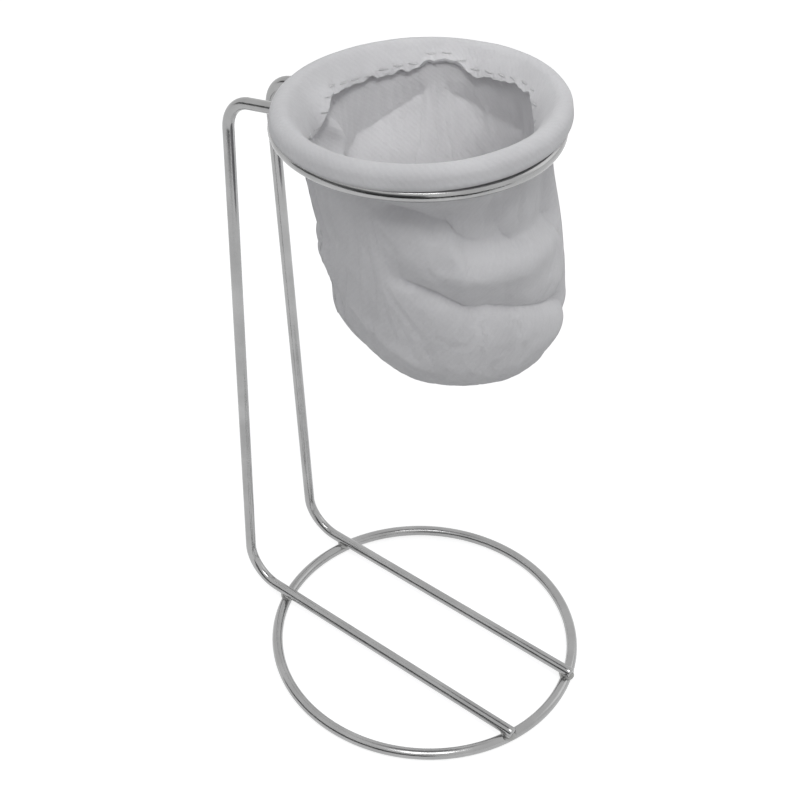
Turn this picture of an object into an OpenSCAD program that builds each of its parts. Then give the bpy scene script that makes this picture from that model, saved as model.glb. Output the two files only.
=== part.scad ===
// Coffee filter stand: a bent wire stand that holds a flannel filter bag over a cup.
// Millimetres, +Z up. The origin is the centre of the base ring, on the table.
// The front, where the cup goes in, faces -Y. The legs stand at the back, at +Y.

/* [Wire] */
// Diameter of the stand's steel wire
wire_d = 3.5; // [2.5:0.1:5]
// How deep one wire is pressed into the other where they are welded
weld_sink = 0.3; // [0.1:0.05:0.5]
// Diameter of the bead of metal round each weld
weld_bead_d = 4.8; // [4:0.1:6]
// Chamfer on the cut ends of the wire
end_chamfer = 0.3; // [0.1:0.1:0.8]
// How much thicker the wire is where it is bent
bend_swell = 0.02; // [0.02:0.01:0.1]

/* [Base] */
// Diameter of the base ring, along the middle of its wire
base_ring_d = 100; // [80:1:140]
// Distance between the middles of the two bars on the base ring
bar_spacing = 32; // [24:1:50]
// How far the two bars lie to the left of the rings' middle
leg_offset = 1.5; // [0.1:0.1:3]

/* [Legs] */
// Distance from the back of the base ring to the foot of the uprights
leg_setback = 13.7; // [10:0.1:30]
// Distance between the middles of the two uprights at their top bends
leg_spacing_top = 17.4; // [14:0.2:30]
// How far the uprights lean backwards on their way up
leg_lean = 2; // [0:0.1:10]
// How far the uprights lean to the left on their way up
leg_lean_left = 1.9; // [0.1:0.1:4]
// Bend radius at the foot of each leg, along the middle of the wire
foot_bend_r = 12; // [6:0.5:16]
// Bend radius at the top of each leg, along the middle of the wire
top_bend_r = 10; // [6:0.5:14]
// How far each arm climbs from its bend to the filter ring
arm_rise = 3.4; // [0:0.1:8]
// How far each arm ends past the middle of the filter ring's wire
arm_end_past = 1.5; // [0.5:0.1:1.7]

/* [Filter ring] */
// Height of the filter ring above the table, to the middle of its wire
filter_ring_z = 191.5; // [150:0.5:240]
// Diameter of the filter ring, along the middle of its wire
filter_ring_d = 74.5; // [64:0.5:90]
// How far the filter ring's centre lies behind the base ring's centre
filter_ring_back = 8; // [0:0.5:15]

/* [Filter] */
// Diameter of the wire of the hoop inside the filter's rim
hoop_wire_d = 3; // [2:0.1:4]
// How much smaller the hoop's radius is than the filter ring's
hoop_inset = 1.05; // [0:0.05:1.5]
// Thickness of the flannel
cloth = 1.3; // [0.8:0.1:1.6]
// Gap between the hoop and the band of cloth that is wrapped round it
hoop_gap = 0.1; // [0.05:0.05:0.2]
// Gap between the filter's rim and the ring that it rests on
seat_gap = 0.2; // [0.1:0.05:0.3]
// Gap between the band's outer edge and the inside of the filter ring
band_gap = 1.05; // [0.9:0.05:2]
// Gap between the bag and the band's two layers
layer_gap = 0.15; // [0.1:0.05:0.3]
// How far the band reaches down outside the bag, below the middle of the filter ring's wire
band_drop = 2; // [1:0.1:3]
// Depth of the hem, from the top of the rim to the band's edge inside the bag
hem_depth = 8; // [7.5:0.1:14]
// Angle at which the hem runs inwards from the rim
hem_slope = 45; // [42:1:50]
// Depth of the bag, from the middle of the filter ring's wire straight down to its lowest point
bag_depth = 75.5; // [60:0.5:110]
// Angle at which the empty bag hangs out of plumb
bag_lean = 12; // [5:0.1:12]
// Direction in which the bag leans, seen from above and counted from +X
bag_lean_toward = -53; // [-180:1:180]
// How much larger the radius of the bag's round bottom is than the bag's own
bottom_flatness = 6; // [5:0.5:15]
// How far the middle of the round bottom lies past the bag's own leaning middle
bottom_shift = 3; // [0.5:0.5:3]

/* [Bag folds] */
// Angle at which the two creases across the bag run down towards the side that it leans to
crease_slope = 21; // [5:1:25]
// How far down the upper crease would cross the bag's middle, as a share of the bag's depth
upper_crease_at = 0.14; // [0.12:0.01:0.2]
// How far down the lower crease would cross the bag's middle, as a share of the bag's depth
lower_crease_at = 0.41; // [0.36:0.01:0.45]
// How far down the cloth starts to sink in towards the upper crease, as a share of the depth
upper_fold_at = 0.06; // [0.05:0.01:0.09]
// How far down the cloth starts to sink in towards the lower crease, as a share of the depth
lower_fold_at = 0.4; // [0.36:0.01:0.44]
// How far the cloth sinks in towards the upper crease, for each millimetre on its way down
upper_fold_taper = 0.21; // [0.1:0.01:0.22]
// How far the cloth sinks in towards the lower crease, for each millimetre on its way down
lower_fold_taper = 0.3; // [0.2:0.01:0.35]
// How much rounder than the bag the upper fold is: more makes it shorter
upper_fold_spread = 8; // [6:0.5:12]
// How much rounder than the bag the lower fold is: more makes it shorter
lower_fold_spread = 11; // [8:0.5:14]
// Direction in which the upper fold is deepest, seen from above and counted from +X
upper_fold_toward = 240; // [220:1:270]
// Direction in which the lower fold is deepest, seen from above and counted from +X
lower_fold_toward = 228; // [215:1:260]

/* [Thread] */
// Diameter of the sewing thread
thread_d = 0.5; // [0.3:0.05:0.7]
// Length of one stitch
stitch = 2.6; // [1.5:0.1:4]
// Gap between one stitch and the next
stitch_gap = 1.5; // [1:0.1:3]
// Gap between the thread and the cloth under it
thread_gap = 0.05; // [0.02:0.01:0.1]
// How far the hem's stitches lie above the cloth's edge
hem_stitch_up = 1; // [0.7:0.1:1.2]
// Direction of the side seam, seen from above and counted from +X
seam_toward = 147; // [90:1:200]

/* [Hidden] */
$fn = 96;

steel = "silver";
bead_steel = "darkgray";
flannel = "gainsboro";
thread_white = "whitesmoke";

wire_r = wire_d / 2;
base_r = base_ring_d / 2;
ring_r = filter_ring_d / 2;
left_side = -1;
right_side = 1;
// How far a leg's straight stretches run on inside its bends
bend_lap = 0.3;

// Places of the bars, the uprights and the arms
bar_z = wire_r + wire_d - weld_sink;
foot_y = base_r + leg_setback;
top_y = foot_y + leg_lean;
arm_slope = atan2(arm_rise, top_y - filter_ring_back - ring_r);
arm_drop = (wire_d - weld_sink) / cos(arm_slope);
top_z = filter_ring_z - arm_drop - arm_rise;
function bar_x(side) = side * bar_spacing / 2 - leg_offset;
function arm_x(side) = side * leg_spacing_top / 2 - leg_offset - leg_lean_left;
// Distance forwards or backwards at which a circle round the origin has this x
function across(r, x) = sqrt(r * r - x * x);
function arm_y(side) = filter_ring_back + across(ring_r, arm_x(side));
function arm_z(y) = top_z + (top_y - y) * tan(arm_slope);

// Corners of a leg's wire, before its bends, from the front of the bar to the end of the arm
function leg_corners(side) = [
    [bar_x(side), -across(base_r + wire_r, bar_x(side)), bar_z],
    [bar_x(side), foot_y, bar_z],
    [arm_x(side), top_y, top_z],
    [arm_x(side), arm_y(side) - arm_end_past, arm_z(arm_y(side) - arm_end_past)]
];

// Rim of the filter: a band of cloth goes round the hoop, and the bag's top edge is sewn
// between the band's two layers
cavity_r = hoop_wire_d / 2 + hoop_gap;
rim_r = cavity_r + cloth;
hoop_r = ring_r - hoop_inset;
hoop_z = filter_ring_z + sqrt(pow(wire_r + seat_gap + rim_r, 2) - pow(hoop_inset, 2));
band_r = ring_r - wire_r - band_gap;
band_inner_r = band_r - cloth;
// The band turns outwards under the hoop on this inner radius
tuck_r = 0.55;
tuck_x = band_r + tuck_r;
tuck_z = hoop_z - rim_r - tuck_r;
// The bag leans, so a level cut through it is longer than it is wide
bag_top_z = tuck_z;
bag_top_shift = max(bag_top_z - filter_ring_z, band_drop) * tan(bag_lean);
bag_r = (band_inner_r - layer_gap - bag_top_shift) * cos(bag_lean);
bag_inner_r = bag_r - cloth;
// The bag's bottom is a part of a ball that hangs level below the leaning wall
bottom_r = bag_r + bottom_flatness;
bottom_out = (bag_depth - bottom_r) * tan(bag_lean) + bottom_shift;
ring_centre = [0, filter_ring_back, filter_ring_z];
bottom_centre = ring_centre
    + [bottom_out * cos(bag_lean_toward), bottom_out * sin(bag_lean_toward), bottom_r - bag_depth];
wall_drop = (bag_depth + bag_r * sin(bag_lean)) / cos(bag_lean) + cloth;
// The hem inside the bag
hem_outer_r = bag_inner_r - layer_gap;
hem_inner_r = hem_outer_r - cloth;
hem_edge_z = hoop_z + rim_r - hem_depth;
// The hem turns downwards on this radius, along its outer face
fold_r = 0.85;
fold_x = hem_outer_r + fold_r;
hem_leave = 180 - hem_slope;
slope_run = (hoop_r - fold_x + (cavity_r - fold_r) * cos(hem_leave)) / sin(hem_slope);
fold_z = hoop_z + (cavity_r - fold_r) * sin(hem_leave) - slope_run * cos(hem_slope);

// Straight pieces that each bend of the cloth is drawn with
tuck_steps = 5;
rim_steps = 16;
fold_steps = 3;

// Points on an arc in the plane of a profile
function arc(x, z, r, from, to, steps) = [
    for (i = [0 : steps]) let (a = from + (to - from) * i / steps) [x + r * cos(a), z + r * sin(a)]
];

// Vector helpers
function unit(v) = v / norm(v);
function turned(a, v) = [v[0] * cos(a) - v[1] * sin(a), v[0] * sin(a) + v[1] * cos(a), v[2]];
function column_frame(x, y, z, o) = [
    [x[0], y[0], z[0], o[0]],
    [x[1], y[1], z[1], o[1]],
    [x[2], y[2], z[2], o[2]],
    [0, 0, 0, 1]
];

// A straight rod of round section from one point to another, with a chamfer at either end
module rod(from, to, d, chamfer_from = 0, chamfer_to = 0) {
    v = to - from;
    long = norm(v);
    r = d / 2;
    first = chamfer_from > 0 ? [[r - chamfer_from, 0], [r, chamfer_from]] : [[r, 0]];
    last = chamfer_to > 0 ? [[r, long - chamfer_to], [r - chamfer_to, long]] : [[r, long]];
    translate(from)
        rotate([0, acos(v[2] / long), atan2(v[1], v[0])])
            rotate_extrude()
                polygon(concat([[0, 0]], first, last, [[0, long]]));
}

// A length of wire that follows corner points, bent to a radius at each inner corner,
// with a chamfer at both ends. The straights run on a little way inside the bends.
module bent_wire(p, radii, d) {
    last = len(p) - 1;
    into = [for (i = [1 : last]) unit(p[i] - p[i - 1])];
    half = [for (i = [1 : last - 1]) acos(-into[i - 1] * into[i]) / 2];
    cut = [for (i = [1 : last - 1]) radii[i - 1] / tan(half[i - 1])];
    for (i = [0 : last - 1]) {
        a = i == 0 ? p[0] : p[i] + into[i] * (cut[i - 1] - bend_lap);
        b = i == last - 1 ? p[last] : p[i + 1] - into[i] * (cut[i] - bend_lap);
        rod(a, b, d, i == 0 ? end_chamfer : 0, i == last - 1 ? end_chamfer : 0);
    }
    for (i = [1 : last - 1]) {
        inward = unit(into[i] - into[i - 1]);
        centre = p[i] + inward * radii[i - 1] / sin(half[i - 1]);
        tangent = p[i] - into[i - 1] * cut[i - 1];
        e1 = unit(tangent - centre);
        e3 = cross(e1, into[i - 1]);
        multmatrix(column_frame(e1, into[i - 1], e3, centre))
            rotate_extrude(angle = 180 - 2 * half[i - 1])
                translate([radii[i - 1], 0])
                    circle(d = d + bend_swell);
    }
}

// A closed ring of round wire, lying flat
module wire_ring(r, d) {
    rotate_extrude()
        translate([r, 0])
            circle(d = d);
}

module leg(side) {
    bent_wire(leg_corners(side), [foot_bend_r, top_bend_r], wire_d);
}

module both_legs() {
    leg(left_side);
    leg(right_side);
}

module plain_base_ring() {
    translate([0, 0, wire_r])
        wire_ring(base_r, wire_d);
}

module plain_filter_ring() {
    translate([0, filter_ring_back, filter_ring_z])
        wire_ring(ring_r, wire_d);
}

// The bead of metal round the weld of one bar on the base ring: end is 1 at the back, -1 in front
module base_bead(side, end) {
    difference() {
        translate([bar_x(side), end * across(base_r, bar_x(side)), wire_d - weld_sink / 2])
            sphere(d = weld_bead_d);
        plain_base_ring();
        leg(side);
    }
}

// The bead of metal round the weld of one arm under the filter ring
module arm_bead(side) {
    difference() {
        translate([arm_x(side), arm_y(side), filter_ring_z - wire_r + weld_sink / 2])
            sphere(d = weld_bead_d);
        plain_filter_ring();
        leg(side);
    }
}

// Everything in here is placed at the centre of the filter ring
module at_filter_ring() {
    translate([0, filter_ring_back, filter_ring_z])
        children();
}

// Everything in here hangs along the leaning middle of the bag
module leaning() {
    at_filter_ring()
        rotate([0, 0, bag_lean_toward])
            rotate([0, -bag_lean, 0])
                children();
}

// The band as one section turned round the middle: up the outside, round the hoop,
// down the hem, and back along the cloth's other face
module band() {
    edge_z = filter_ring_z - band_drop;
    outside = concat(
        [[band_r, edge_z]],
        arc(tuck_x, tuck_z, tuck_r, 180, 90, tuck_steps),
        arc(hoop_r, hoop_z, rim_r, -90, hem_leave, rim_steps),
        arc(fold_x, fold_z, fold_r + cloth, hem_leave, 180, fold_steps),
        [[hem_inner_r, hem_edge_z]]
    );
    inside = concat(
        [[hem_outer_r, hem_edge_z]],
        arc(fold_x, fold_z, fold_r, 180, hem_leave, fold_steps),
        arc(hoop_r, hoop_z, cavity_r, hem_leave, -90, rim_steps),
        arc(tuck_x, tuck_z, tuck_r + cloth, 90, 180, tuck_steps),
        [[band_inner_r, edge_z]]
    );
    translate([0, filter_ring_back, 0])
        rotate_extrude()
            polygon(concat(outside, inside));
}

// What a fold takes away from the bag: all that lies above its crease's slanting plane and
// outside a cone, which touches the wall where the fold starts and narrows downwards. The inset
// is 0 for the outer face of the cloth and the cloth's thickness for its inner face.
module fold(crease_at, fold_at, taper, spread, toward, inset) {
    reach = 2 * bag_r;
    start = fold_at * bag_depth;
    start_r = bag_r - inset + spread;
    difference() {
        translate(ring_centre - [0, 0, crease_at * bag_depth])
            rotate([0, 0, bag_lean_toward])
                rotate([0, crease_slope, 0])
                    translate([0, 0, reach - inset])
                        cube(2 * reach, center = true);
        leaning()
            rotate([0, 0, toward - bag_lean_toward])
                translate([-spread, 0, -start - reach])
                    cylinder(h = 2 * reach, r1 = start_r - taper * reach, r2 = start_r + taper * reach);
    }
}

// The space inside one face of the bag's cloth: a leaning round wall with two folds across its
// front, and a round bottom that hangs level
module bag_space(top, inset) {
    below = 4 * bottom_r;
    difference() {
        leaning()
            translate([0, 0, -wall_drop])
                cylinder(h = wall_drop + top, r = bag_r - inset);
        difference() {
            translate(bottom_centre - [0, 0, below / 2])
                cube(below, center = true);
            translate(bottom_centre)
                sphere(r = bottom_r - inset);
        }
        fold(upper_crease_at, upper_fold_at, upper_fold_taper, upper_fold_spread, upper_fold_toward, inset);
        fold(lower_crease_at, lower_fold_at, lower_fold_taper, lower_fold_spread, lower_fold_toward, inset);
    }
}

// One stitch, lying along Y at the origin
module one_stitch() {
    rotate([90, 0, 0])
        cylinder(h = stitch, d = thread_d, center = true, $fn = 16);
}

module base_ring() {
    color(steel)
        difference() {
            plain_base_ring();
            both_legs();
        }
}

module left_leg() {
    color(steel)
        leg(left_side);
}

module right_leg() {
    color(steel)
        leg(right_side);
}

module filter_ring() {
    color(steel)
        difference() {
            plain_filter_ring();
            both_legs();
        }
}

module back_welds() {
    color(bead_steel) {
        base_bead(left_side, 1);
        base_bead(right_side, 1);
    }
}

module front_welds() {
    color(bead_steel) {
        base_bead(left_side, -1);
        base_bead(right_side, -1);
    }
}

module arm_welds() {
    color(bead_steel) {
        arm_bead(left_side);
        arm_bead(right_side);
    }
}

module filter_hoop() {
    color(steel)
        translate([0, filter_ring_back, hoop_z])
            wire_ring(hoop_r, hoop_wire_d);
}

module filter_band() {
    color(flannel)
        band();
}

module filter_bag() {
    color(flannel)
        difference() {
            bag_space(bag_r, 0);
            bag_space(bag_r + cloth, cloth);
            translate([-2 * bag_r, filter_ring_back - 2 * bag_r, bag_top_z])
                cube([4 * bag_r, 4 * bag_r, 2 * bag_r]);
        }
}

module hem_stitches() {
    r = hem_inner_r - thread_gap - thread_d / 2;
    chord_r = sqrt(pow(r, 2) - pow(stitch / 2, 2)) - thread_gap;
    count = floor(2 * PI * r / (stitch + stitch_gap));
    color(thread_white)
        translate([0, filter_ring_back, hem_edge_z + hem_stitch_up])
            for (i = [0 : count - 1])
                rotate([0, 0, 360 * i / count])
                    translate([chord_r, 0, 0])
                        one_stitch();
}

// The side seam runs down the bag's wall to where the round bottom starts, and on under it
module seam_stitches() {
    step = stitch + stitch_gap;
    out = thread_gap + thread_d / 2;
    turn_from_lean = seam_toward - bag_lean_toward;
    sideways = [cos(turn_from_lean) * cos(bag_lean), sin(turn_from_lean),
        cos(turn_from_lean) * sin(bag_lean)];
    upwards = turned(bag_lean_toward, [-sin(bag_lean), 0, cos(bag_lean)]);
    seam_top = ring_centre + turned(bag_lean_toward, sideways) * bag_r - bottom_centre;
    // Where the seam's straight line down the wall runs into the ball of the round bottom
    rise = seam_top * upwards;
    wall_end = rise + sqrt(pow(rise, 2) + pow(bottom_r, 2) - seam_top * seam_top);
    corner = seam_top - upwards * wall_end;
    first = stitch + wire_d;
    turn = 2 * asin(step / 2 / (bottom_r + out));
    corner_turn = acos(-corner[2] / bottom_r);
    color(thread_white) {
        leaning()
            rotate([0, 0, turn_from_lean])
                for (i = [0 : floor((wall_end - first) / step) - 1])
                    translate([bag_r + out, 0, -first - (i + 0.5) * step])
                        rotate([90, 0, 0])
                            one_stitch();
        translate(bottom_centre)
            rotate([0, 0, atan2(corner[1], corner[0])])
                for (i = [0 : floor(corner_turn / turn) - 1])
                    rotate([0, -(i + 0.5) * turn, 0])
                        translate([0, 0, -bottom_r - out - thread_gap])
                            rotate([0, 0, 90])
                                one_stitch();
    }
}

base_ring();
left_leg();
right_leg();
filter_ring();
back_welds();
front_welds();
arm_welds();
filter_hoop();
filter_band();
filter_bag();
hem_stitches();
seam_stitches();
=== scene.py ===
"""Looks of the coffee filter stand: plated wire, weld beads and a flannel filter bag.

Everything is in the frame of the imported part: metres, +Z up, the origin at the centre of the
base ring on the table, the uprights at +Y. The sizes below are in millimetres, as on the
real object, and mm() turns them into metres.
"""

import math

import bpy
from mathutils import Matrix, Vector, noise
from mathutils.bvhtree import BVHTree


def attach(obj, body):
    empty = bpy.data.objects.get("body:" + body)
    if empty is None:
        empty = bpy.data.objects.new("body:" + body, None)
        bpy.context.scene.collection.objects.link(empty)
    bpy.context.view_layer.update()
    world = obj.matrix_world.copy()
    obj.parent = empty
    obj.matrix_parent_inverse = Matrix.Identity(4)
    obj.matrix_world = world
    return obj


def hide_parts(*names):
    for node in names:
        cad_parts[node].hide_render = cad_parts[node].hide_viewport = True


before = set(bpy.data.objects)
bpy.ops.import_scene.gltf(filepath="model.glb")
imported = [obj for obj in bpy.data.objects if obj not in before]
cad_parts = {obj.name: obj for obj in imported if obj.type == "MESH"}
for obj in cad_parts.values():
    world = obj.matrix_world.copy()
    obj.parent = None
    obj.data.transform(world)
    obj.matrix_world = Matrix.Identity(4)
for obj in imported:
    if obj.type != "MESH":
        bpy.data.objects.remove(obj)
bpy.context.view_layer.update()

MM = 0.001

# Wire stand, in millimetres, the same values as the part's
WIRE_D = 3.5
WELD_SINK = 0.3
END_CHAMFER = 0.3
BASE_RING_R = 50.0
BAR_SPACING = 32.0
LEG_OFFSET = 1.5
LEG_SETBACK = 13.7
LEG_SPACING_TOP = 17.4
LEG_LEAN = 2.0
LEG_LEAN_LEFT = 1.9
FOOT_BEND_R = 12.0
TOP_BEND_R = 10.0
ARM_RISE = 3.4
ARM_END_PAST = 1.5
FILTER_RING_Z = 191.5
FILTER_RING_R = 37.25
FILTER_RING_BACK = 8.0
WELD_BEAD_R = 2.4

# Filter, in millimetres
HOOP_WIRE_D = 3.0
HOOP_INSET = 1.05
CLOTH = 1.3
HOOP_GAP = 0.1
SEAT_GAP = 0.2
BAND_GAP = 1.05
LAYER_GAP = 0.15
BAND_DROP = 2.0
HEM_SLOPE = 45.0
TUCK_R = 0.55
BAG_LEAN_TOWARD = -53.0

# The photograph's camera: where it stands in millimetres, where it looks in degrees, and the
# focal length and the middle of its picture in pixels of the 800 pixel wide image
CAMERA_PLACE = (-257.66, -187.48, 356.93)
VIEW_AZIMUTH = -49.709
VIEW_ELEVATION = 37.550
VIEW_ROLL = -0.552
IMAGE_SIDE = 800
FOCAL_PX = 1371.9
MIDDLE_PX = (352.4, 376.0)
SENSOR = 36.0


def mm(*values):
    """A point given in millimetres, as a vector in metres."""
    return Vector(values) * MM


def link(obj):
    bpy.context.scene.collection.objects.link(obj)
    return obj


def smooth_mesh(name, points, faces, uvs=None):
    """A mesh object with smooth faces. uvs holds one (u, v) for each corner of each face."""
    mesh = bpy.data.meshes.new(name)
    mesh.from_pydata(points, [], faces)
    mesh.polygons.foreach_set("use_smooth", [True] * len(mesh.polygons))
    if uvs is not None:
        layer = mesh.uv_layers.new(name="UVMap")
        layer.data.foreach_set("uv", [x for uv in uvs for x in uv])
    mesh.update()
    return link(bpy.data.objects.new(name, mesh))


def apply_modifiers(obj):
    """Turns an object's modifiers into its own mesh."""
    graph = bpy.context.evaluated_depsgraph_get()
    graph.update()
    made = bpy.data.meshes.new_from_object(obj.evaluated_get(graph))
    obj.modifiers.clear()
    obj.data = made
    return obj


# Camera


def make_camera():
    a, e, roll = (math.radians(x) for x in (VIEW_AZIMUTH, VIEW_ELEVATION, VIEW_ROLL))
    back = Vector((math.sin(a) * math.cos(e), -math.cos(a) * math.cos(e), math.sin(e)))
    level = Vector((math.cos(a), math.sin(a), 0))
    right = level * math.cos(roll) + back.cross(level) * math.sin(roll)
    up = back.cross(right)
    camera = link(bpy.data.objects.new("camera", bpy.data.cameras.new("camera")))
    camera.data.sensor_width = SENSOR
    camera.data.lens = FOCAL_PX * SENSOR / IMAGE_SIDE
    camera.data.shift_x = (IMAGE_SIDE / 2 - MIDDLE_PX[0]) / IMAGE_SIDE
    camera.data.shift_y = (MIDDLE_PX[1] - IMAGE_SIDE / 2) / IMAGE_SIDE
    camera.data.clip_start = 0.01
    camera.data.clip_end = 50
    camera.matrix_world = Matrix.LocRotScale(
        mm(*CAMERA_PLACE), Matrix((right, up, back)).transposed().to_quaternion(), None
    )
    bpy.context.scene.camera = camera


# Materials


class Nodes:
    """A short way to write a material's node tree."""

    def __init__(self, name):
        self.material = bpy.data.materials.new(name)
        self.material.use_nodes = True
        self.tree = self.material.node_tree
        self.shader = self.tree.nodes["Principled BSDF"]

    def add(self, kind, inputs=(), **settings):
        node = self.tree.nodes.new(kind)
        for key, value in settings.items():
            setattr(node, key, value)
        for key, value in dict(inputs).items():
            self.put(node.inputs[key], value)
        return node

    def put(self, socket, value):
        if isinstance(value, bpy.types.NodeSocket):
            self.tree.links.new(value, socket)
        else:
            socket.default_value = value

    def noise(self, coordinates, scale, detail=4.0, rough=0.55, distortion=0.0):
        node = self.add(
            "ShaderNodeTexNoise",
            {"Vector": coordinates, "Scale": scale, "Detail": detail, "Roughness": rough, "Distortion": distortion},
        )
        return node.outputs["Fac"]

    def ramp(self, factor, *stops):
        """A colour ramp through (position, colour or grey value) stops."""
        node = self.add("ShaderNodeValToRGB", {"Fac": factor})
        while len(node.color_ramp.elements) < len(stops):
            node.color_ramp.elements.new(0.5)
        for element, (position, value) in zip(node.color_ramp.elements, stops):
            element.position = position
            element.color = (*value, 1) if isinstance(value, tuple) else (value, value, value, 1)
        return node.outputs["Color"]

    def span(self, value, low, high):
        """A value from 0 to 1 stretched to run from low to high."""
        node = self.add("ShaderNodeMapRange", {"Value": value, "To Min": low, "To Max": high})
        return node.outputs["Result"]

    def sum(self, a, b, share):
        """a plus share times b."""
        node = self.add("ShaderNodeMath", {0: b, 1: share, 2: a}, operation="MULTIPLY_ADD")
        return node.outputs[0]

    def bump(self, height, distance, strength=1.0):
        node = self.add("ShaderNodeBump", {"Height": height, "Distance": distance, "Strength": strength})
        return node.outputs["Normal"]

    def stretched(self, coordinates, scale):
        node = self.add("ShaderNodeMapping", {"Vector": coordinates, "Scale": scale})
        return node.outputs["Vector"]


def wire_material(name, light, dark, rough_low, rough_high):
    """Bright plating on drawn wire: faint lines along the wire and cloudy patches."""
    n = Nodes(name)
    place = n.add("ShaderNodeTexCoord")
    along = n.stretched(place.outputs["UV"], (60.0, 14.0, 1.0))
    lines = n.noise(along, 4.0, detail=6.0, rough=0.6)
    clouds = n.noise(place.outputs["Object"], 90.0, detail=3.0)
    specks = n.noise(place.outputs["Object"], 1500.0, detail=2.0)
    n.put(n.shader.inputs["Base Color"], n.ramp(clouds, (0.3, dark), (0.7, light)))
    n.put(n.shader.inputs["Roughness"], n.span(n.sum(clouds, lines, 0.5), rough_low, rough_high))
    n.shader.inputs["Metallic"].default_value = 1.0
    n.put(n.shader.inputs["Normal"], n.bump(n.sum(lines, specks, 0.3), 0.00003, 0.6))
    return n.material


def flannel_material(name, light, dark, weave_pitch):
    """Brushed cotton: a faint twill under a soft nap, with slightly uneven tone."""
    n = Nodes(name)
    place = n.add("ShaderNodeTexCoord")
    wave_period = 2 * math.pi / 20
    twill = n.add(
        "ShaderNodeTexWave",
        {"Vector": place.outputs["UV"], "Scale": wave_period / weave_pitch, "Distortion": 3.0, "Detail": 2.0,
         "Detail Scale": 2.0},
        bands_direction="DIAGONAL",
    ).outputs["Fac"]
    tone = n.noise(place.outputs["Object"], 55.0, detail=4.0, rough=0.6)
    nap = n.noise(place.outputs["Object"], 1100.0, detail=6.0, rough=0.7, distortion=0.4)
    fluff = n.noise(place.outputs["Object"], 320.0, detail=5.0, rough=0.65)
    fibres = n.sum(n.sum(tone, nap, 0.35), twill, 0.06)
    n.put(n.shader.inputs["Base Color"], n.ramp(fibres, (0.45, dark), (0.85, light)))
    n.put(n.shader.inputs["Roughness"], n.span(nap, 0.82, 1.0))
    n.shader.inputs["Specular IOR Level"].default_value = 0.15
    n.shader.inputs["Sheen Weight"].default_value = 0.25
    n.shader.inputs["Sheen Roughness"].default_value = 0.6
    n.shader.inputs["Subsurface Weight"].default_value = 0.75
    n.shader.inputs["Subsurface Radius"].default_value = (1.0, 1.0, 1.0)
    n.shader.inputs["Subsurface Scale"].default_value = 0.002
    height = n.sum(n.sum(nap, fluff, 0.9), twill, 0.25)
    n.put(n.shader.inputs["Normal"], n.bump(height, 0.00022, 0.55))
    return n.material


def thread_material(name, light, dark):
    """Twisted sewing thread: UV runs along the stitch in metres, and once round it."""
    n = Nodes(name)
    place = n.add("ShaderNodeTexCoord")
    twist = n.add(
        "ShaderNodeTexWave",
        {"Vector": n.stretched(place.outputs["UV"], (900.0, 0.35, 1.0)), "Scale": 1.0, "Distortion": 0.5},
        bands_direction="DIAGONAL",
    ).outputs["Fac"]
    fuzz = n.noise(place.outputs["Object"], 2500.0, detail=4.0)
    n.put(n.shader.inputs["Base Color"], n.ramp(n.sum(fuzz, twist, 0.3), (0.3, dark), (0.9, light)))
    n.put(n.shader.inputs["Roughness"], n.span(fuzz, 0.7, 0.95))
    n.shader.inputs["Sheen Weight"].default_value = 0.3
    n.shader.inputs["Subsurface Weight"].default_value = 0.75
    n.shader.inputs["Subsurface Radius"].default_value = (1.0, 1.0, 1.0)
    n.shader.inputs["Subsurface Scale"].default_value = 0.002
    n.put(n.shader.inputs["Normal"], n.bump(n.sum(fuzz, twist, 1.0), 0.0001, 0.5))
    return n.material


chrome = wire_material("chrome_wire", (0.40, 0.40, 0.40), (0.32, 0.32, 0.32), 0.08, 0.20)
weld_metal = wire_material("weld_metal", (0.38, 0.38, 0.38), (0.26, 0.26, 0.25), 0.22, 0.40)
hoop_steel = wire_material("hoop_steel", (0.50, 0.50, 0.49), (0.42, 0.42, 0.41), 0.25, 0.40)
flannel = flannel_material("flannel", (0.74, 0.735, 0.745), (0.66, 0.655, 0.665), 0.0009)
thread = thread_material("thread", (0.75, 0.745, 0.757), (0.68, 0.675, 0.687))


# Wire pieces


def add_tube(points, faces, uvs, path, radii, sides, closed=False):
    """Adds a round tube along a path of points in metres, with a radius at each point.
    Its UV runs along the path in metres, and once round it."""
    first, count = len(points), len(path)
    run = [0.0]
    for a, b in zip(path, path[1:]):
        run.append(run[-1] + (b - a).length)
    normal = None
    for i, p in enumerate(path):
        if closed:
            direction = path[(i + 1) % count] - path[i - 1]
        else:
            direction = path[min(i + 1, count - 1)] - path[max(i - 1, 0)]
        direction.normalize()
        if normal is None:
            normal = direction.orthogonal()
        normal = (normal - direction * normal.dot(direction)).normalized()
        other = direction.cross(normal)
        for j in range(sides):
            a = 2 * math.pi * j / sides
            points.append(p + (normal * math.cos(a) + other * math.sin(a)) * radii[i])
    spans = count if closed else count - 1
    step = run[1] - run[0]
    for i in range(spans):
        k = (i + 1) % count
        far = run[i] + step if closed and k == 0 else run[k]
        a, b = first + i * sides, first + k * sides
        for j in range(sides):
            m = (j + 1) % sides
            faces.append((a + j, a + m, b + m, b + j))
            v0, v1 = j / sides, (j + 1) / sides
            uvs += [(run[i], v0), (run[i], v1), (far, v1), (far, v0)]
    if not closed:
        for end, i in ((0, 0), (1, count - 1)):
            ring = [first + i * sides + j for j in range(sides)]
            faces.append(tuple(ring if end else reversed(ring)))
            uvs += [(run[i], j / sides) for j in range(sides)]


def tube(name, path, radii, sides=32, closed=False):
    points, faces, uvs = [], [], []
    add_tube(points, faces, uvs, path, radii, sides, closed)
    return smooth_mesh(name, points, faces, uvs)


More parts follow.
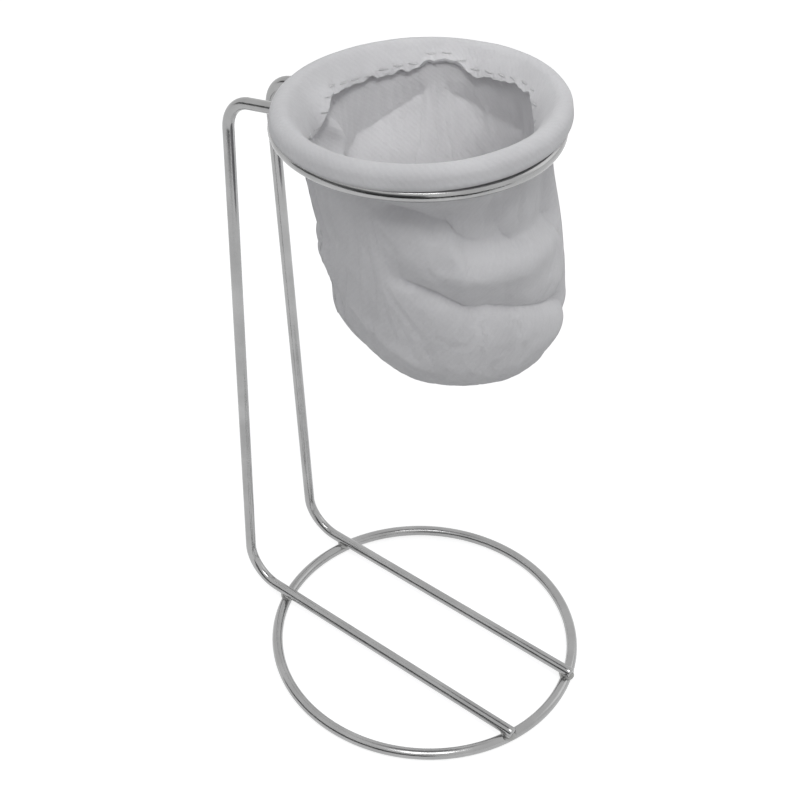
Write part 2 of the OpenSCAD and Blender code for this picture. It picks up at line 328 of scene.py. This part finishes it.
def wire_ring(name, centre, radius, wire_r, steps=320):
    turn = [2 * math.pi * i / steps for i in range(steps)]
    path = [mm(centre[0] + radius * math.cos(a), centre[1] + radius * math.sin(a), centre[2]) for a in turn]
    return tube(name, path, [wire_r * MM] * steps, closed=True)


def bent_path(corners, radii, bend_steps=28, straight_step=2.0):
    """Points along straight lines between corners, with a round bend at each inner corner."""
    path = []
    start = corners[0]
    for i in range(1, len(corners)):
        into = (corners[i] - corners[i - 1]).normalized()
        if i < len(corners) - 1:
            out = (corners[i + 1] - corners[i]).normalized()
            turn = into.angle(out)
            cut = radii[i - 1] * math.tan(turn / 2)
        else:
            cut = 0.0
        end = corners[i] - into * cut
        count = max(2, int((end - start).length / straight_step))
        path += [start.lerp(end, k / count) for k in range(count)]
        if cut:
            inward = (out - into).normalized()
            centre = corners[i] + inward * radii[i - 1] / math.cos(turn / 2)
            axis = into.cross(out).normalized()
            arm = end - centre
            path += [centre + Matrix.Rotation(turn * k / bend_steps, 3, axis) @ arm for k in range(bend_steps)]
            start = corners[i] + out * cut
        else:
            path.append(end)
    return path


def bar_x(side):
    return side * BAR_SPACING / 2 - LEG_OFFSET


def arm_x(side):
    return side * LEG_SPACING_TOP / 2 - LEG_OFFSET - LEG_LEAN_LEFT


def across(radius, x):
    return math.sqrt(radius * radius - x * x)


WIRE_R = WIRE_D / 2
BAR_Z = WIRE_R + WIRE_D - WELD_SINK
FOOT_Y = BASE_RING_R + LEG_SETBACK
TOP_Y = FOOT_Y + LEG_LEAN
ARM_SLOPE = math.atan2(ARM_RISE, TOP_Y - FILTER_RING_BACK - FILTER_RING_R)
TOP_Z = FILTER_RING_Z - (WIRE_D - WELD_SINK) / math.cos(ARM_SLOPE) - ARM_RISE


def arm_y(side):
    return FILTER_RING_BACK + across(FILTER_RING_R, arm_x(side))


def leg_wire(name, side):
    end_y = arm_y(side) - ARM_END_PAST
    corners = [
        Vector((bar_x(side), -across(BASE_RING_R + WIRE_R, bar_x(side)), BAR_Z)),
        Vector((bar_x(side), FOOT_Y, BAR_Z)),
        Vector((arm_x(side), TOP_Y, TOP_Z)),
        Vector((arm_x(side), end_y, TOP_Z + (TOP_Y - end_y) * math.tan(ARM_SLOPE))),
    ]
    path = bent_path(corners, [FOOT_BEND_R, TOP_BEND_R])
    head = path[0].lerp(path[1], END_CHAMFER / (path[1] - path[0]).length)
    tail = path[-1].lerp(path[-2], END_CHAMFER / (path[-1] - path[-2]).length)
    path = [path[0], head] + path[1:-1] + [tail, path[-1]]
    radii = [WIRE_R] * len(path)
    radii[0] = radii[-1] = WIRE_R - END_CHAMFER
    return tube(name, [p * MM for p in path], [r * MM for r in radii])


def weld_beads(name, centres, along):
    """Small lumps of metal round each crossing, squeezed out more along one wire than the other."""
    points, faces = [], []
    rings, sides = 18, 28
    for number, centre in enumerate(centres):
        first = len(points)
        for i in range(rings + 1):
            tilt = math.pi * i / rings
            for j in range(sides):
                turn = 2 * math.pi * j / sides
                out = Vector((math.sin(tilt) * math.cos(turn), math.sin(tilt) * math.sin(turn), math.cos(tilt)))
                lump = noise.noise(out * 1.7 + Vector((number * 7.0, 3.0, 1.0))) * 0.16
                squeezed = Vector((out.x * 0.96, out.y * along, out.z * 0.74))
                points.append((centre + squeezed * WELD_BEAD_R * (1 + lump)) * MM)
        for i in range(rings):
            for j in range(sides):
                k = (j + 1) % sides
                a, b = first + i * sides, first + (i + 1) * sides
                faces.append((a + j, b + j, b + k, a + k))
    obj = smooth_mesh(name, points, faces)
    weld = obj.modifiers.new("poles", "WELD")
    weld.merge_threshold = 1e-6
    return apply_modifiers(obj)


def dress(obj, material, slot_name, body, *nodes):
    obj.data.materials.clear()
    obj.data.materials.append(material)
    if nodes:
        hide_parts(*nodes)
    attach(obj, body)
    return obj


def make_stand():
    base = wire_ring("base_ring_wire", (0, 0, WIRE_R), BASE_RING_R, WIRE_R)
    dress(base, chrome, "chrome_wire", "stand", "base_ring")
    top = wire_ring("filter_ring_wire", (0, FILTER_RING_BACK, FILTER_RING_Z), FILTER_RING_R, WIRE_R)
    dress(top, chrome, "chrome_wire", "stand", "filter_ring")
    for name, side in (("left_leg", -1), ("right_leg", 1)):
        dress(leg_wire(name + "_wire", side), chrome, "chrome_wire", "stand", name)
    weld_z = WIRE_D - WELD_SINK / 2
    for name, end in (("back_welds", 1), ("front_welds", -1)):
        spots = [Vector((bar_x(s), end * across(BASE_RING_R, bar_x(s)), weld_z)) for s in (-1, 1)]
        dress(weld_beads(name + "_metal", spots, 1.05), weld_metal, "weld_metal", "stand", name)
    arm_z = FILTER_RING_Z - WIRE_R + WELD_SINK / 2
    spots = [Vector((arm_x(s), arm_y(s), arm_z)) for s in (-1, 1)]
    dress(weld_beads("arm_welds_metal", spots, 1.1), weld_metal, "weld_metal", "stand", "arm_welds")


# Filter

CAVITY_R = HOOP_WIRE_D / 2 + HOOP_GAP
ROLL_R = CAVITY_R + CLOTH / 2
RIM_R = CAVITY_R + CLOTH
HOOP_R = FILTER_RING_R - HOOP_INSET
HOOP_Z = FILTER_RING_Z + math.sqrt((WIRE_R + SEAT_GAP + RIM_R) ** 2 - HOOP_INSET**2)
BAND_R = FILTER_RING_R - WIRE_R - BAND_GAP - CLOTH / 2
TUCK_Z = HOOP_Z - RIM_R - TUCK_R
# The filter doesn't sit quite in the middle of its ring
FILTER_X = 0.4
FILTER_Y = FILTER_RING_BACK - 0.5
# Nor quite level: its rim lies lower on one side and higher on the other
RIM_UP_TOWARD = math.radians(-49.7)
RIM_LIFT = -0.1
RIM_TILT = 1.7
AROUND = 288


def ring_noise(angle, waves, seed, height=0.0):
    """Smooth noise round the rim: about that many waves in one turn."""
    reach = waves / (2 * math.pi)
    spot = Vector((math.cos(angle) * reach, math.sin(angle) * reach, height + seed * 9.3))
    return noise.fractal(spot, 1.0, 2.0, 3)


def smoothstep(x):
    x = min(1.0, max(0.0, x))
    return x * x * (3 - 2 * x)


def between(stops, x):
    """The value at x on a smooth curve through (x, value) stops."""
    last = len(stops) - 1
    if x <= stops[0][0]:
        return stops[0][1]
    if x >= stops[last][0]:
        return stops[last][1]
    i = 0
    while x > stops[i + 1][0]:
        i += 1
    slopes = []
    for k in (i, i + 1):
        a, b = stops[max(k - 1, 0)], stops[min(k + 1, last)]
        slopes.append((b[1] - a[1]) / (b[0] - a[0]))
    (x0, v0), (x1, v1) = stops[i], stops[i + 1]
    wide = x1 - x0
    t = (x - x0) / wide
    return (
        v0 * (1 + 2 * t) * (1 - t) ** 2
        + v1 * t * t * (3 - 2 * t)
        + slopes[0] * wide * t * (1 - t) ** 2
        - slopes[1] * wide * t * t * (1 - t)
    )


def round_stops(stops, degrees):
    """The value at a direction on a smooth closed curve through (degrees, value) stops."""
    turn = (degrees - stops[0][0]) % 360 + stops[0][0]
    before = (stops[-1][0] - 360, stops[-1][1])
    after = [(x + 360, v) for x, v in stops[:2]]
    return between([before] + stops + after, turn)


def rim_lift(angle):
    """How far the rim lies above its level place in one direction."""
    return RIM_LIFT + RIM_TILT * math.cos(angle - RIM_UP_TOWARD)


def filter_point(r, angle, z):
    return mm(FILTER_X + r * math.cos(angle), FILTER_Y + r * math.sin(angle), z)


# Height above the table and radius of the hem's edge, by direction in degrees from +X
HEM_EDGE_Z = [
    (-60, 189.0), (-45, 190.8), (-38, 193.9), (-32, 194.9), (-20, 194.3), (-9, 193.5), (4, 192.8),
    (11, 192.7), (18, 194.6), (26, 195.4), (33, 194.8), (38, 192.7), (46, 192.1), (58, 191.3),
    (67, 190.3), (77, 190.6), (84, 190.8), (94, 191.3), (99, 190.1), (105, 188.4), (109, 186.4),
    (113, 184.8), (120, 184.2), (135, 186.0), (160, 188.5), (200, 190.0), (250, 189.0),
]
HEM_EDGE_R = [
    (-60, 30.4), (0, 30.6), (50, 30.6), (66, 30.5), (77, 30.1), (84, 29.5), (94, 28.3), (99, 27.4),
    (105, 26.8), (109, 27.3), (113, 28.4), (120, 29.4), (135, 30.1), (200, 30.4),
]


# How much the band sags over the ring's wire, as a share of its roll's radius, and where
ROLL_SAG = 0.48
ROLL_SAG_AT = math.radians(-46)


def band_profile(angle):
    """Centre line of the band's cloth in one direction, as (radius, height) points."""
    degrees = math.degrees(angle)
    lift = rim_lift(angle)
    edge_z = FILTER_RING_Z - BAND_DROP
    points = [(BAND_R, edge_z + (TUCK_Z - edge_z) * i / 3) for i in range(3)]
    bend = TUCK_R + CLOTH / 2
    for i in range(5):
        a = math.pi - math.pi / 2 * i / 4
        points.append((BAND_R + bend + bend * math.cos(a), TUCK_Z + bend * math.sin(a)))
    leave = math.radians(180 - HEM_SLOPE)
    for i in range(22):
        a = -math.pi / 2 + (leave + math.pi / 2) * i / 21
        over = smoothstep(i / 12)
        swell = 1 + over * (0.09 * ring_noise(angle, 8, 3) + 0.04 * ring_noise(angle, 26, 4, a))
        swell += (ROLL_SAG + 0.05 * ring_noise(angle, 12, 9)) * math.exp(-(((a - ROLL_SAG_AT) / 0.42) ** 2))
        points.append((HOOP_R + ROLL_R * swell * math.cos(a), HOOP_Z + ROLL_R * swell * math.sin(a)))
    points = [(r, z + lift) for r, z in points]
    hem_r = round_stops(HEM_EDGE_R, degrees) + 0.25 * ring_noise(angle, 14, 5)
    hem_z = round_stops(HEM_EDGE_Z, degrees) + 0.6 * ring_noise(angle, 42, 1) + 1.1 * ring_noise(angle, 100, 2)
    r0, z0 = points[-1]
    # The corner that the hem's curve bends towards, between its slope and where it hangs down
    knee_r = hem_r + 0.4
    knee_z = max(hem_z + 0.6, z0 - (r0 - knee_r) * 1.02)
    sag = 0.3 + 0.5 * ring_noise(angle, 11, 6)
    for i in range(1, 19):
        t = i / 18
        dip = math.sin(math.pi * t) * sag
        r = r0 * (1 - t) ** 2 + 2 * knee_r * t * (1 - t) + hem_r * t * t
        z = z0 * (1 - t) ** 2 + 2 * knee_z * t * (1 - t) + hem_z * t * t
        points.append((r + dip * 0.5, z - dip * 0.5))
    return points


def make_band():
    points, faces, uvs = [], [], []
    rows = len(band_profile(0.0))
    profiles = [band_profile(2 * math.pi * i / AROUND) for i in range(AROUND)]
    for i, profile in enumerate(profiles):
        points += [filter_point(r, 2 * math.pi * i / AROUND, z) for r, z in profile]
    run = [0.0]
    for (r0, z0), (r1, z1) in zip(profiles[0], profiles[0][1:]):
        run.append(run[-1] + math.hypot(r1 - r0, z1 - z0) * MM)
    for i in range(AROUND):
        k = (i + 1) % AROUND
        u0, u1 = (HOOP_R * MM * 2 * math.pi * x / AROUND for x in (i, i + 1))
        for j in range(rows - 1):
            faces.append((i * rows + j, k * rows + j, k * rows + j + 1, i * rows + j + 1))
            uvs += [(u0, run[j]), (u1, run[j]), (u1, run[j + 1]), (u0, run[j + 1])]
    obj = smooth_mesh("filter_band_cloth", points, faces, uvs)
    shell = obj.modifiers.new("shell", "SOLIDIFY")
    shell.thickness = CLOTH * MM
    shell.offset = 0
    round_edges = obj.modifiers.new("round", "SUBSURF")
    round_edges.levels = round_edges.render_levels = 1
    apply_modifiers(obj)
    return dress(obj, flannel, "flannel", "filter", "filter_band")


# The bag's smooth form by height above the table: how far its middle has moved the way it
# leans, and half its width outside
BAG_SHIFT = [(110, 16.0), (125, 13.8), (137, 11.3), (147, 9.2), (158, 7.0), (174, 4.0), (193, 0.0)]
BAG_WIDTH = [(137, 31.3), (147, 32.2), (158, 32.9), (170, 32.9), (180, 32.6), (188, 32.8), (194, 33.0)]
BAG_TOP_Z = 194.2
BAG_BEND_Z = 142.0
BAG_LOW_Z = 120.3
BAG_BLUNT = 2.6
BAG_ROWS_WALL = 62
BAG_ROWS_END = 36

# Creases that run round the wall: points as (direction in degrees from +X, height above the
# table), how deep the cloth goes in, and how far the hollow reaches above and below the line.
# A negative depth makes a ridge.
CREASES = [
    # The slack under the ring, and its fold half way down, both seen from the front
    ([(196, 183.5), (209, 182.3), (217, 180.3), (225, 178.8), (231, 174.4), (242, 172.0), (259, 170.3),
      (271, 169.9), (287, 168.5), (304, 168.0)], 5.3, 15.0, 2.3),
    ([(194, 162.6), (204, 161.2), (214, 159.0), (228, 154.6), (239, 153.9), (255, 151.0), (267, 148.8), (285, 145.5),
      (304, 140.0)], 4.0, 5.4, 2.2),
    # The edge at the lower left, where the wall turns under
    ([(142, 158.0), (153, 153.0), (161, 148.5), (173, 143.8), (186, 139.0), (200, 134.5)], -0.8, 4.0, 4.0),
    # A short notch in the outline on the left
    ([(118, 166.0), (135, 165.0), (150, 164.0), (165, 166.5)], 1.3, 3.0, 2.2),
    # The roof-shaped fold on the inside of the far wall
    ([(34, 187.0), (48, 181.8), (62, 177.8), (78, 174.9), (88, 171.5)], -1.9, 4.5, 3.0),
    ([(-20, 181.0), (-8, 179.5), (8, 180.8), (19, 183.4), (31, 187.0)], -1.8, 4.5, 3.0),
    # Folds at the back, which the photograph doesn't show
    ([(20, 160.0), (45, 158.0), (75, 161.0), (100, 166.0), (118, 163.0)], 2.2, 7.0, 3.0),
    ([(-40, 163.0), (-15, 157.0), (12, 150.0), (40, 146.0), (62, 147.5)], 2.4, 6.5, 2.8),
    ([(80, 150.0), (105, 146.5), (128, 148.5)], 1.5, 5.0, 2.6),
]
CREASE_SOFT = 0.9
CREASE_FADE = 14.0

# Creases that run down the wall: points as (height, direction), depth, and how far the hollow
# reaches towards smaller and towards larger directions
UPRIGHT_CREASES = [
    ([(168.5, 260.5), (170.3, 258.5), (175.4, 252.8), (179.7, 250.6), (186.0, 251.2)], 1.3, 5.0, 1.6),
    ([(168.5, 102.0), (173.0, 100.0), (175.5, 95.0), (179.0, 93.6), (183.0, 96.6), (189.0, 101.0)], 3.0, 1.0, 3.0),
]
UPRIGHT_FADE = 3.0

# Places where the cloth stands out: direction, height, how far, and its reach round and down
BULGES = [
    (270, 178.0, 1.7, 8.0, 6.0),
    (246, 164.5, 1.5, 20.0, 4.5),
    (255, 143.0, 1.0, 18.0, 6.0),
    (205, 172.0, 0.9, 9.0, 9.0),
    (58, 167.0, -1.8, 16.0, 8.0),
    (24, 171.0, -1.4, 14.0, 8.0),
    (330, 170.0, 1.0, 9.0, 10.0),
    (132, 160.0, 1.3, 12.0, 3.5),
    (137, 141.5, 1.5, 14.0, 5.0),
    (176, 122.0, 3.6, 14.0, 4.0),
    (-78, 151.0, 1.0, 14.0, 5.0),
    (-60, 130.5, -2.3, 22.0, 4.5),
]
SEAM_TOWARD = 147.0
SEAM_WIDE = 2.4
SEAM_HIGH = 0.7


def soft_hollow(distance, reach):
    """1 on a crease's line, fading to 0 at about its reach."""
    return math.exp(-(math.sqrt(distance * distance + CREASE_SOFT**2) - CREASE_SOFT) / reach)


def turn_between(a, b):
    """How far direction a lies past b, from -180 to 180 degrees."""
    return (a - b + 180) % 360 - 180


def bag_relief(degrees, z, radius):
    """How far the cloth stands out from the bag's smooth form, in millimetres."""
    arc = math.pi / 180 * radius
    out = 0.0
    for line, depth, above, below in CREASES:
        middle = (line[0][0] + line[-1][0]) / 2
        x = middle + turn_between(degrees, middle)
        half = (line[-1][0] - line[0][0]) / 2
        fade = smoothstep((half + CREASE_FADE / 2 - abs(x - middle)) / CREASE_FADE)
        if fade > 0:
            off = z - between(line, x)
            out -= depth * fade * soft_hollow(off, above if off > 0 else below)
    for line, depth, smaller, larger in UPRIGHT_CREASES:
        inside = min(z - line[0][0], line[-1][0] - z)
        fade = smoothstep((inside + UPRIGHT_FADE / 2) / UPRIGHT_FADE)
        if fade > 0:
            off = turn_between(degrees, between(line, z)) * arc
            out -= depth * fade * soft_hollow(off, larger if off > 0 else smaller)
    for toward, height, far, wide, tall in BULGES:
        across_it = turn_between(degrees, toward) * arc / wide
        out += far * math.exp(-(across_it**2) - ((z - height) / tall) ** 2)
    seam = turn_between(degrees, SEAM_TOWARD) * arc
    out += SEAM_HIGH * smoothstep((SEAM_WIDE + 0.6 - abs(seam)) / 1.2)
    angle = math.radians(degrees)
    gathers = ring_noise(angle, 20, 7, z * 0.02) * math.exp(-(BAG_TOP_Z - z) / 9)
    spot = Vector((math.cos(angle) * radius, math.sin(angle) * radius, z * 0.9))
    crumple = noise.fractal(spot / 18, 1.0, 2.0, 2)
    return out + 0.5 * gathers + 0.4 * crumple


def bag_levels():
    """(height, middle's shift, radius) of each level of the bag, from its top to its lowest point."""
    levels = []
    thin = CLOTH / 2
    for i in range(BAG_ROWS_WALL):
        z = BAG_TOP_Z + (BAG_BEND_Z - BAG_TOP_Z) * i / BAG_ROWS_WALL
        levels.append((z, between(BAG_SHIFT, z), between(BAG_WIDTH, z) - thin))
    for i in range(BAG_ROWS_END):
        a = math.pi / 2 * i / BAG_ROWS_END
        power = 2 / BAG_BLUNT
        r = (between(BAG_WIDTH, BAG_BEND_Z) - thin) * math.cos(a) ** power
        z = BAG_BEND_Z - (BAG_BEND_Z - BAG_LOW_Z - thin) * math.sin(a) ** power
        levels.append((z, between(BAG_SHIFT, z), r))
    return levels


def drape(obj, held):
    """Settles a piece of cloth under its own weight and slack. held says how firmly each point
    keeps its place, from 0 to 1."""
    group = obj.vertex_groups.new(name="held")
    for i, weight in enumerate(held):
        group.add([i], weight, "REPLACE")
    cloth = obj.modifiers.new("cloth", "CLOTH")
    cloth.settings.quality = 8
    cloth.settings.mass = DRAPE_MASS
    cloth.settings.tension_stiffness = 15
    cloth.settings.compression_stiffness = 15
    cloth.settings.shear_stiffness = 5
    cloth.settings.bending_stiffness = DRAPE_BENDING
    cloth.settings.vertex_group_mass = "held"
    cloth.settings.shrink_min = -DRAPE_SLACK
    cloth.collision_settings.use_collision = False
    cloth.point_cache.frame_start = 1
    cloth.point_cache.frame_end = DRAPE_FRAMES
    scene = bpy.context.scene
    for number in range(1, DRAPE_FRAMES + 1):
        scene.frame_set(number)
    apply_modifiers(obj)
    scene.frame_set(1)


DRAPE_FRAMES = 24
DRAPE_MASS = 0.02
DRAPE_BENDING = 2.0
DRAPE_SLACK = 0.015
DRAPE_HOLD = 0.12


def make_bag():
    lean = math.radians(BAG_LEAN_TOWARD)
    toward_x, toward_y = math.cos(lean), math.sin(lean)
    levels = bag_levels()
    points, faces, uvs, held = [], [], [], []
    run = [0.0]
    for a, b in zip(levels, levels[1:]):
        run.append(run[-1] + math.hypot(b[0] - a[0], b[2] - a[2]) * MM)
    flat_area = 0.0
    for (z0, _, r0), (z1, _, r1), v0, v1 in zip(levels, levels[1:], run, run[1:]):
        flat_area += math.pi * (r0 + r1) * MM * (v1 - v0)
    for z, shift, r in levels:
        for i in range(AROUND):
            degrees = 360 * i / AROUND
            calm = smoothstep(r / 14)
            rim = smoothstep((190 - z) / 8)
            out = r + bag_relief(degrees, z, r) * calm * rim
            a = math.radians(degrees)
            points.append(mm(
                FILTER_X + out * math.cos(a) + toward_x * shift,
                FILTER_Y + out * math.sin(a) + toward_y * shift,
                z + rim_lift(a) * smoothstep((z - 176) / 16) + 0.8 * ring_noise(a, 6, 8) * (1 - calm),
            ))
            held.append(1.0 if z > 188 else DRAPE_HOLD)
    last = levels[-1]
    points.append(mm(FILTER_X + toward_x * last[1], FILTER_Y + toward_y * last[1], BAG_LOW_Z + CLOTH / 2))
    held.append(DRAPE_HOLD)
    # The bag is one piece of cloth, folded double and sewn up its side and round its bottom:
    # u runs round it from the seam, and gets shorter where the cut gets narrower
    def around(i, r):
        return (i / AROUND - 0.5) * 2 * math.pi * r * MM

    for j in range(len(levels) - 1):
        for i in range(AROUND):
            k = (i + 1) % AROUND
            faces.append((j * AROUND + i, (j + 1) * AROUND + i, (j + 1) * AROUND + k, j * AROUND + k))
            r0, r1 = levels[j][2], levels[j + 1][2]
            uvs += [(around(i, r0), run[j]), (around(i, r1), run[j + 1])]
            uvs += [(around(i + 1, r1), run[j + 1]), (around(i + 1, r0), run[j])]
    j = len(levels) - 1
    for i in range(AROUND):
        k = (i + 1) % AROUND
        faces.append((j * AROUND + i, len(points) - 1, j * AROUND + k))
        r0 = levels[j][2]
        uvs += [(around(i, r0), run[j]), (0.0, run[j] + r0 * MM), (around(i + 1, r0), run[j])]
    obj = smooth_mesh("filter_bag_cloth", points, faces, uvs)
    drape(obj, held)
    shell = obj.modifiers.new("shell", "SOLIDIFY")
    shell.thickness = CLOTH * MM
    shell.offset = 0
    apply_modifiers(obj)
    return dress(obj, flannel, "flannel", "filter", "filter_bag"), flat_area


def tree_of(obj):
    graph = bpy.context.evaluated_depsgraph_get()
    graph.update()
    return BVHTree.FromObject(obj, graph)


def lay_stitches(name, node, tree, seam):
    """Stitches on a piece of cloth. seam lists where each is looked for: a point off the cloth,
    the direction from it to the cloth, and the direction that the seam runs in."""
    points, faces, uvs = [], [], []
    steps = 8
    for origin, look, along in seam:
        path = []
        for k in range(steps + 1):
            t = k / steps
            spot, normal, _, _ = tree.ray_cast(origin + along * (t - 0.5) * STITCH * MM, look)
            if spot is None:
                break
            if normal.dot(look) > 0:
                normal = -normal
            path.append(spot + normal * THREAD_R * MM * (0.85 * math.sin(math.pi * t) - 0.95))
        if len(path) == steps + 1:
            add_tube(points, faces, uvs, path, [THREAD_R * MM] * len(path), 10)
    obj = smooth_mesh(name, points, faces, uvs)
    return dress(obj, thread, "thread", "filter", node)


STITCH = 2.6
STITCH_PITCH = 4.1
THREAD_R = 0.25
HEM_STITCH_UP = 1.2


def hem_seam():
    """Where the hem's stitches are looked for, from inside the bag."""
    seam = []
    count = int(2 * math.pi * 29.0 / STITCH_PITCH)
    for i in range(count):
        a = 2 * math.pi * i / count
        z = round_stops(HEM_EDGE_Z, math.degrees(a)) + HEM_STITCH_UP + 0.4
        out = Vector((math.cos(a), math.sin(a), 0))
        seam.append((mm(FILTER_X, FILTER_Y, z) + out * 0.018, out, Vector((-out.y, out.x, 0))))
    return seam


def side_seam():
    """Where the side seam's stitches are looked for: down the wall from outside, then under the bag."""
    seam = []
    lean, a = math.radians(BAG_LEAN_TOWARD), math.radians(SEAM_TOWARD)
    out = Vector((math.cos(a), math.sin(a), 0))
    down = Vector((0, 0, -1))
    z = FILTER_RING_Z - 6.5
    while z > BAG_BEND_Z - 6:
        shift = between(BAG_SHIFT, z)
        middle = mm(FILTER_X + math.cos(lean) * shift, FILTER_Y + math.sin(lean) * shift, z)
        seam.append((middle + out * 0.05, -out, down))
        z -= STITCH_PITCH
    shift = between(BAG_SHIFT, BAG_LOW_Z)
    middle = mm(FILTER_X + math.cos(lean) * shift, FILTER_Y + math.sin(lean) * shift, BAG_LOW_Z - 20)
    r = 24.0
    while r > 1.5:
        seam.append((middle + out * r * MM, -down, -out))
        r -= STITCH_PITCH
    return seam


def make_filter():
    turn = [2 * math.pi * i / AROUND for i in range(AROUND)]
    path = [filter_point(HOOP_R, a, HOOP_Z + rim_lift(a)) for a in turn]
    hoop = tube("filter_hoop_wire", path, [HOOP_WIRE_D / 2 * MM] * AROUND, closed=True)
    dress(hoop, hoop_steel, "hoop_steel", "filter", "filter_hoop")
    band = make_band()
    bag, bag_area = make_bag()
    lay_stitches("hem_stitches_thread", "hem_stitches", tree_of(band), hem_seam())
    lay_stitches("seam_stitches_thread", "seam_stitches", tree_of(bag), side_seam())


# Studio


def area_light(name, place, look_at, size, power):
    light = bpy.data.lights.new(name, "AREA")
    light.shape = "RECTANGLE"
    light.size, light.size_y = size
    light.energy = power
    obj = link(bpy.data.objects.new(name, light))
    direction = Vector(look_at) - Vector(place)
    obj.matrix_world = Matrix.LocRotScale(Vector(place), direction.to_track_quat("-Z", "Y"), None)
    return obj


def mouth_light():
    """A narrow beam into the mouth of the bag, so that its inside shows as pale as its outside."""
    light = bpy.data.lights.new("mouth_light", "SPOT")
    light.energy = 10.0
    light.spot_size = math.radians(4.1)
    light.spot_blend = 0.5
    light.shadow_soft_size = 0.02
    obj = link(bpy.data.objects.new("mouth_light", light))
    place, mouth = Vector((-0.283, -0.232, 0.789)), mm(FILTER_X + 6, FILTER_Y, HOOP_Z)
    obj.matrix_world = Matrix.LocRotScale(place, (mouth - place).to_track_quat("-Z", "Y"), None)


def make_world():
    world = bpy.data.worlds.new("studio")
    bpy.context.scene.world = world
    world.use_nodes = True
    tree = world.node_tree
    tree.nodes.clear()
    path = tree.nodes.new("ShaderNodeLightPath")
    seen = tree.nodes.new("ShaderNodeBackground")
    seen.inputs["Color"].default_value = (1, 1, 1, 1)
    seen.inputs["Strength"].default_value = 1.0
    around = tree.nodes.new("ShaderNodeBackground")
    around.inputs["Color"].default_value = (0.97, 0.98, 1.0, 1)
    around.inputs["Strength"].default_value = 0.48
    mix = tree.nodes.new("ShaderNodeMixShader")
    out = tree.nodes.new("ShaderNodeOutputWorld")
    shown = path.outputs["Is Camera Ray"]
    for other in ("Is Glossy Ray", "Is Transmission Ray"):
        either = tree.nodes.new("ShaderNodeMath")
        either.operation = "MAXIMUM"
        tree.links.new(shown, either.inputs[0])
        tree.links.new(path.outputs[other], either.inputs[1])
        shown = either.outputs[0]
    tree.links.new(shown, mix.inputs[0])
    tree.links.new(around.outputs[0], mix.inputs[1])
    tree.links.new(seen.outputs[0], mix.inputs[2])
    tree.links.new(mix.outputs[0], out.inputs["Surface"])


# How much white the floor shows, over what the lamps give it
FLOOR_FILL = 0.74


def make_floor():
    side = 4.0
    corners = [(-side, -side, 0), (side, -side, 0), (side, side, 0), (-side, side, 0)]
    floor = smooth_mesh("floor", corners, [(0, 1, 2, 3)])
    n = Nodes("floor")
    place = n.add("ShaderNodeTexCoord")
    grain = n.noise(place.outputs["Object"], 6.0, detail=2.0)
    n.put(n.shader.inputs["Base Color"], n.ramp(grain, (0.0, 0.54), (1.0, 0.56)))
    n.shader.inputs["Roughness"].default_value = 0.9
    n.shader.inputs["Specular IOR Level"].default_value = 0.1
    path = n.add("ShaderNodeLightPath")
    shown = path.outputs["Is Camera Ray"]
    for other in ("Is Glossy Ray", "Is Transmission Ray"):
        shown = n.add("ShaderNodeMath", {0: shown, 1: path.outputs[other]}, operation="MAXIMUM").outputs[0]
    fill = n.add("ShaderNodeMath", {0: shown, 1: FLOOR_FILL}, operation="MULTIPLY").outputs[0]
    glow = n.add("ShaderNodeEmission", {"Color": (1, 1, 1, 1), "Strength": fill})
    both = n.add("ShaderNodeAddShader", {0: n.shader.outputs[0], 1: glow.outputs[0]})
    n.put(n.tree.nodes["Material Output"].inputs["Surface"], both.outputs[0])
    floor.data.materials.append(n.material)
    floor.location.z = -0.0002


def make_board(name, corners, dark, light):
    """A dull board that only shows in the plated wire, as the room round it does."""
    board = smooth_mesh(name, corners, [(0, 1, 2, 3)])
    n = Nodes(name)
    place = n.add("ShaderNodeTexCoord")
    patches = n.noise(place.outputs["Object"], 1.5, detail=2.0)
    n.put(n.shader.inputs["Base Color"], n.ramp(patches, (0.3, dark), (0.7, light)))
    n.shader.inputs["Roughness"].default_value = 1.0
    n.shader.inputs["Specular IOR Level"].default_value = 0.0
    board.data.materials.append(n.material)
    for kind in ("camera", "diffuse", "transmission", "volume_scatter", "shadow"):
        setattr(board, "visible_" + kind, False)


def make_studio():
    make_world()
    make_floor()
    area_light("key_light", (-0.44, -0.41, 1.28), (0, 0, 0.15), (0.5, 0.5), 4.4)
    area_light("side_light", (1.1, -0.7, 0.8), (0, 0, 0.12), (0.8, 0.8), 1.0)
    mouth_light()
    make_board("left_wall", [(-2.0, -2.0, 0.0), (-2.0, 4.0, 0.0), (-2.0, 4.0, 1.1), (-2.0, -2.0, 1.1)], 0.24, 0.34)
    make_board("near_floor", [(0.526, -1.127, 0.001), (-1.014, 0.713, 0.001), (-2.754, -0.762, 0.001),
                              (-1.214, -2.602, 0.001)], 0.03, 0.06)


make_camera()
make_stand()
make_filter()
make_studio()

scene = bpy.context.scene
scene.view_settings.view_transform = "Standard"
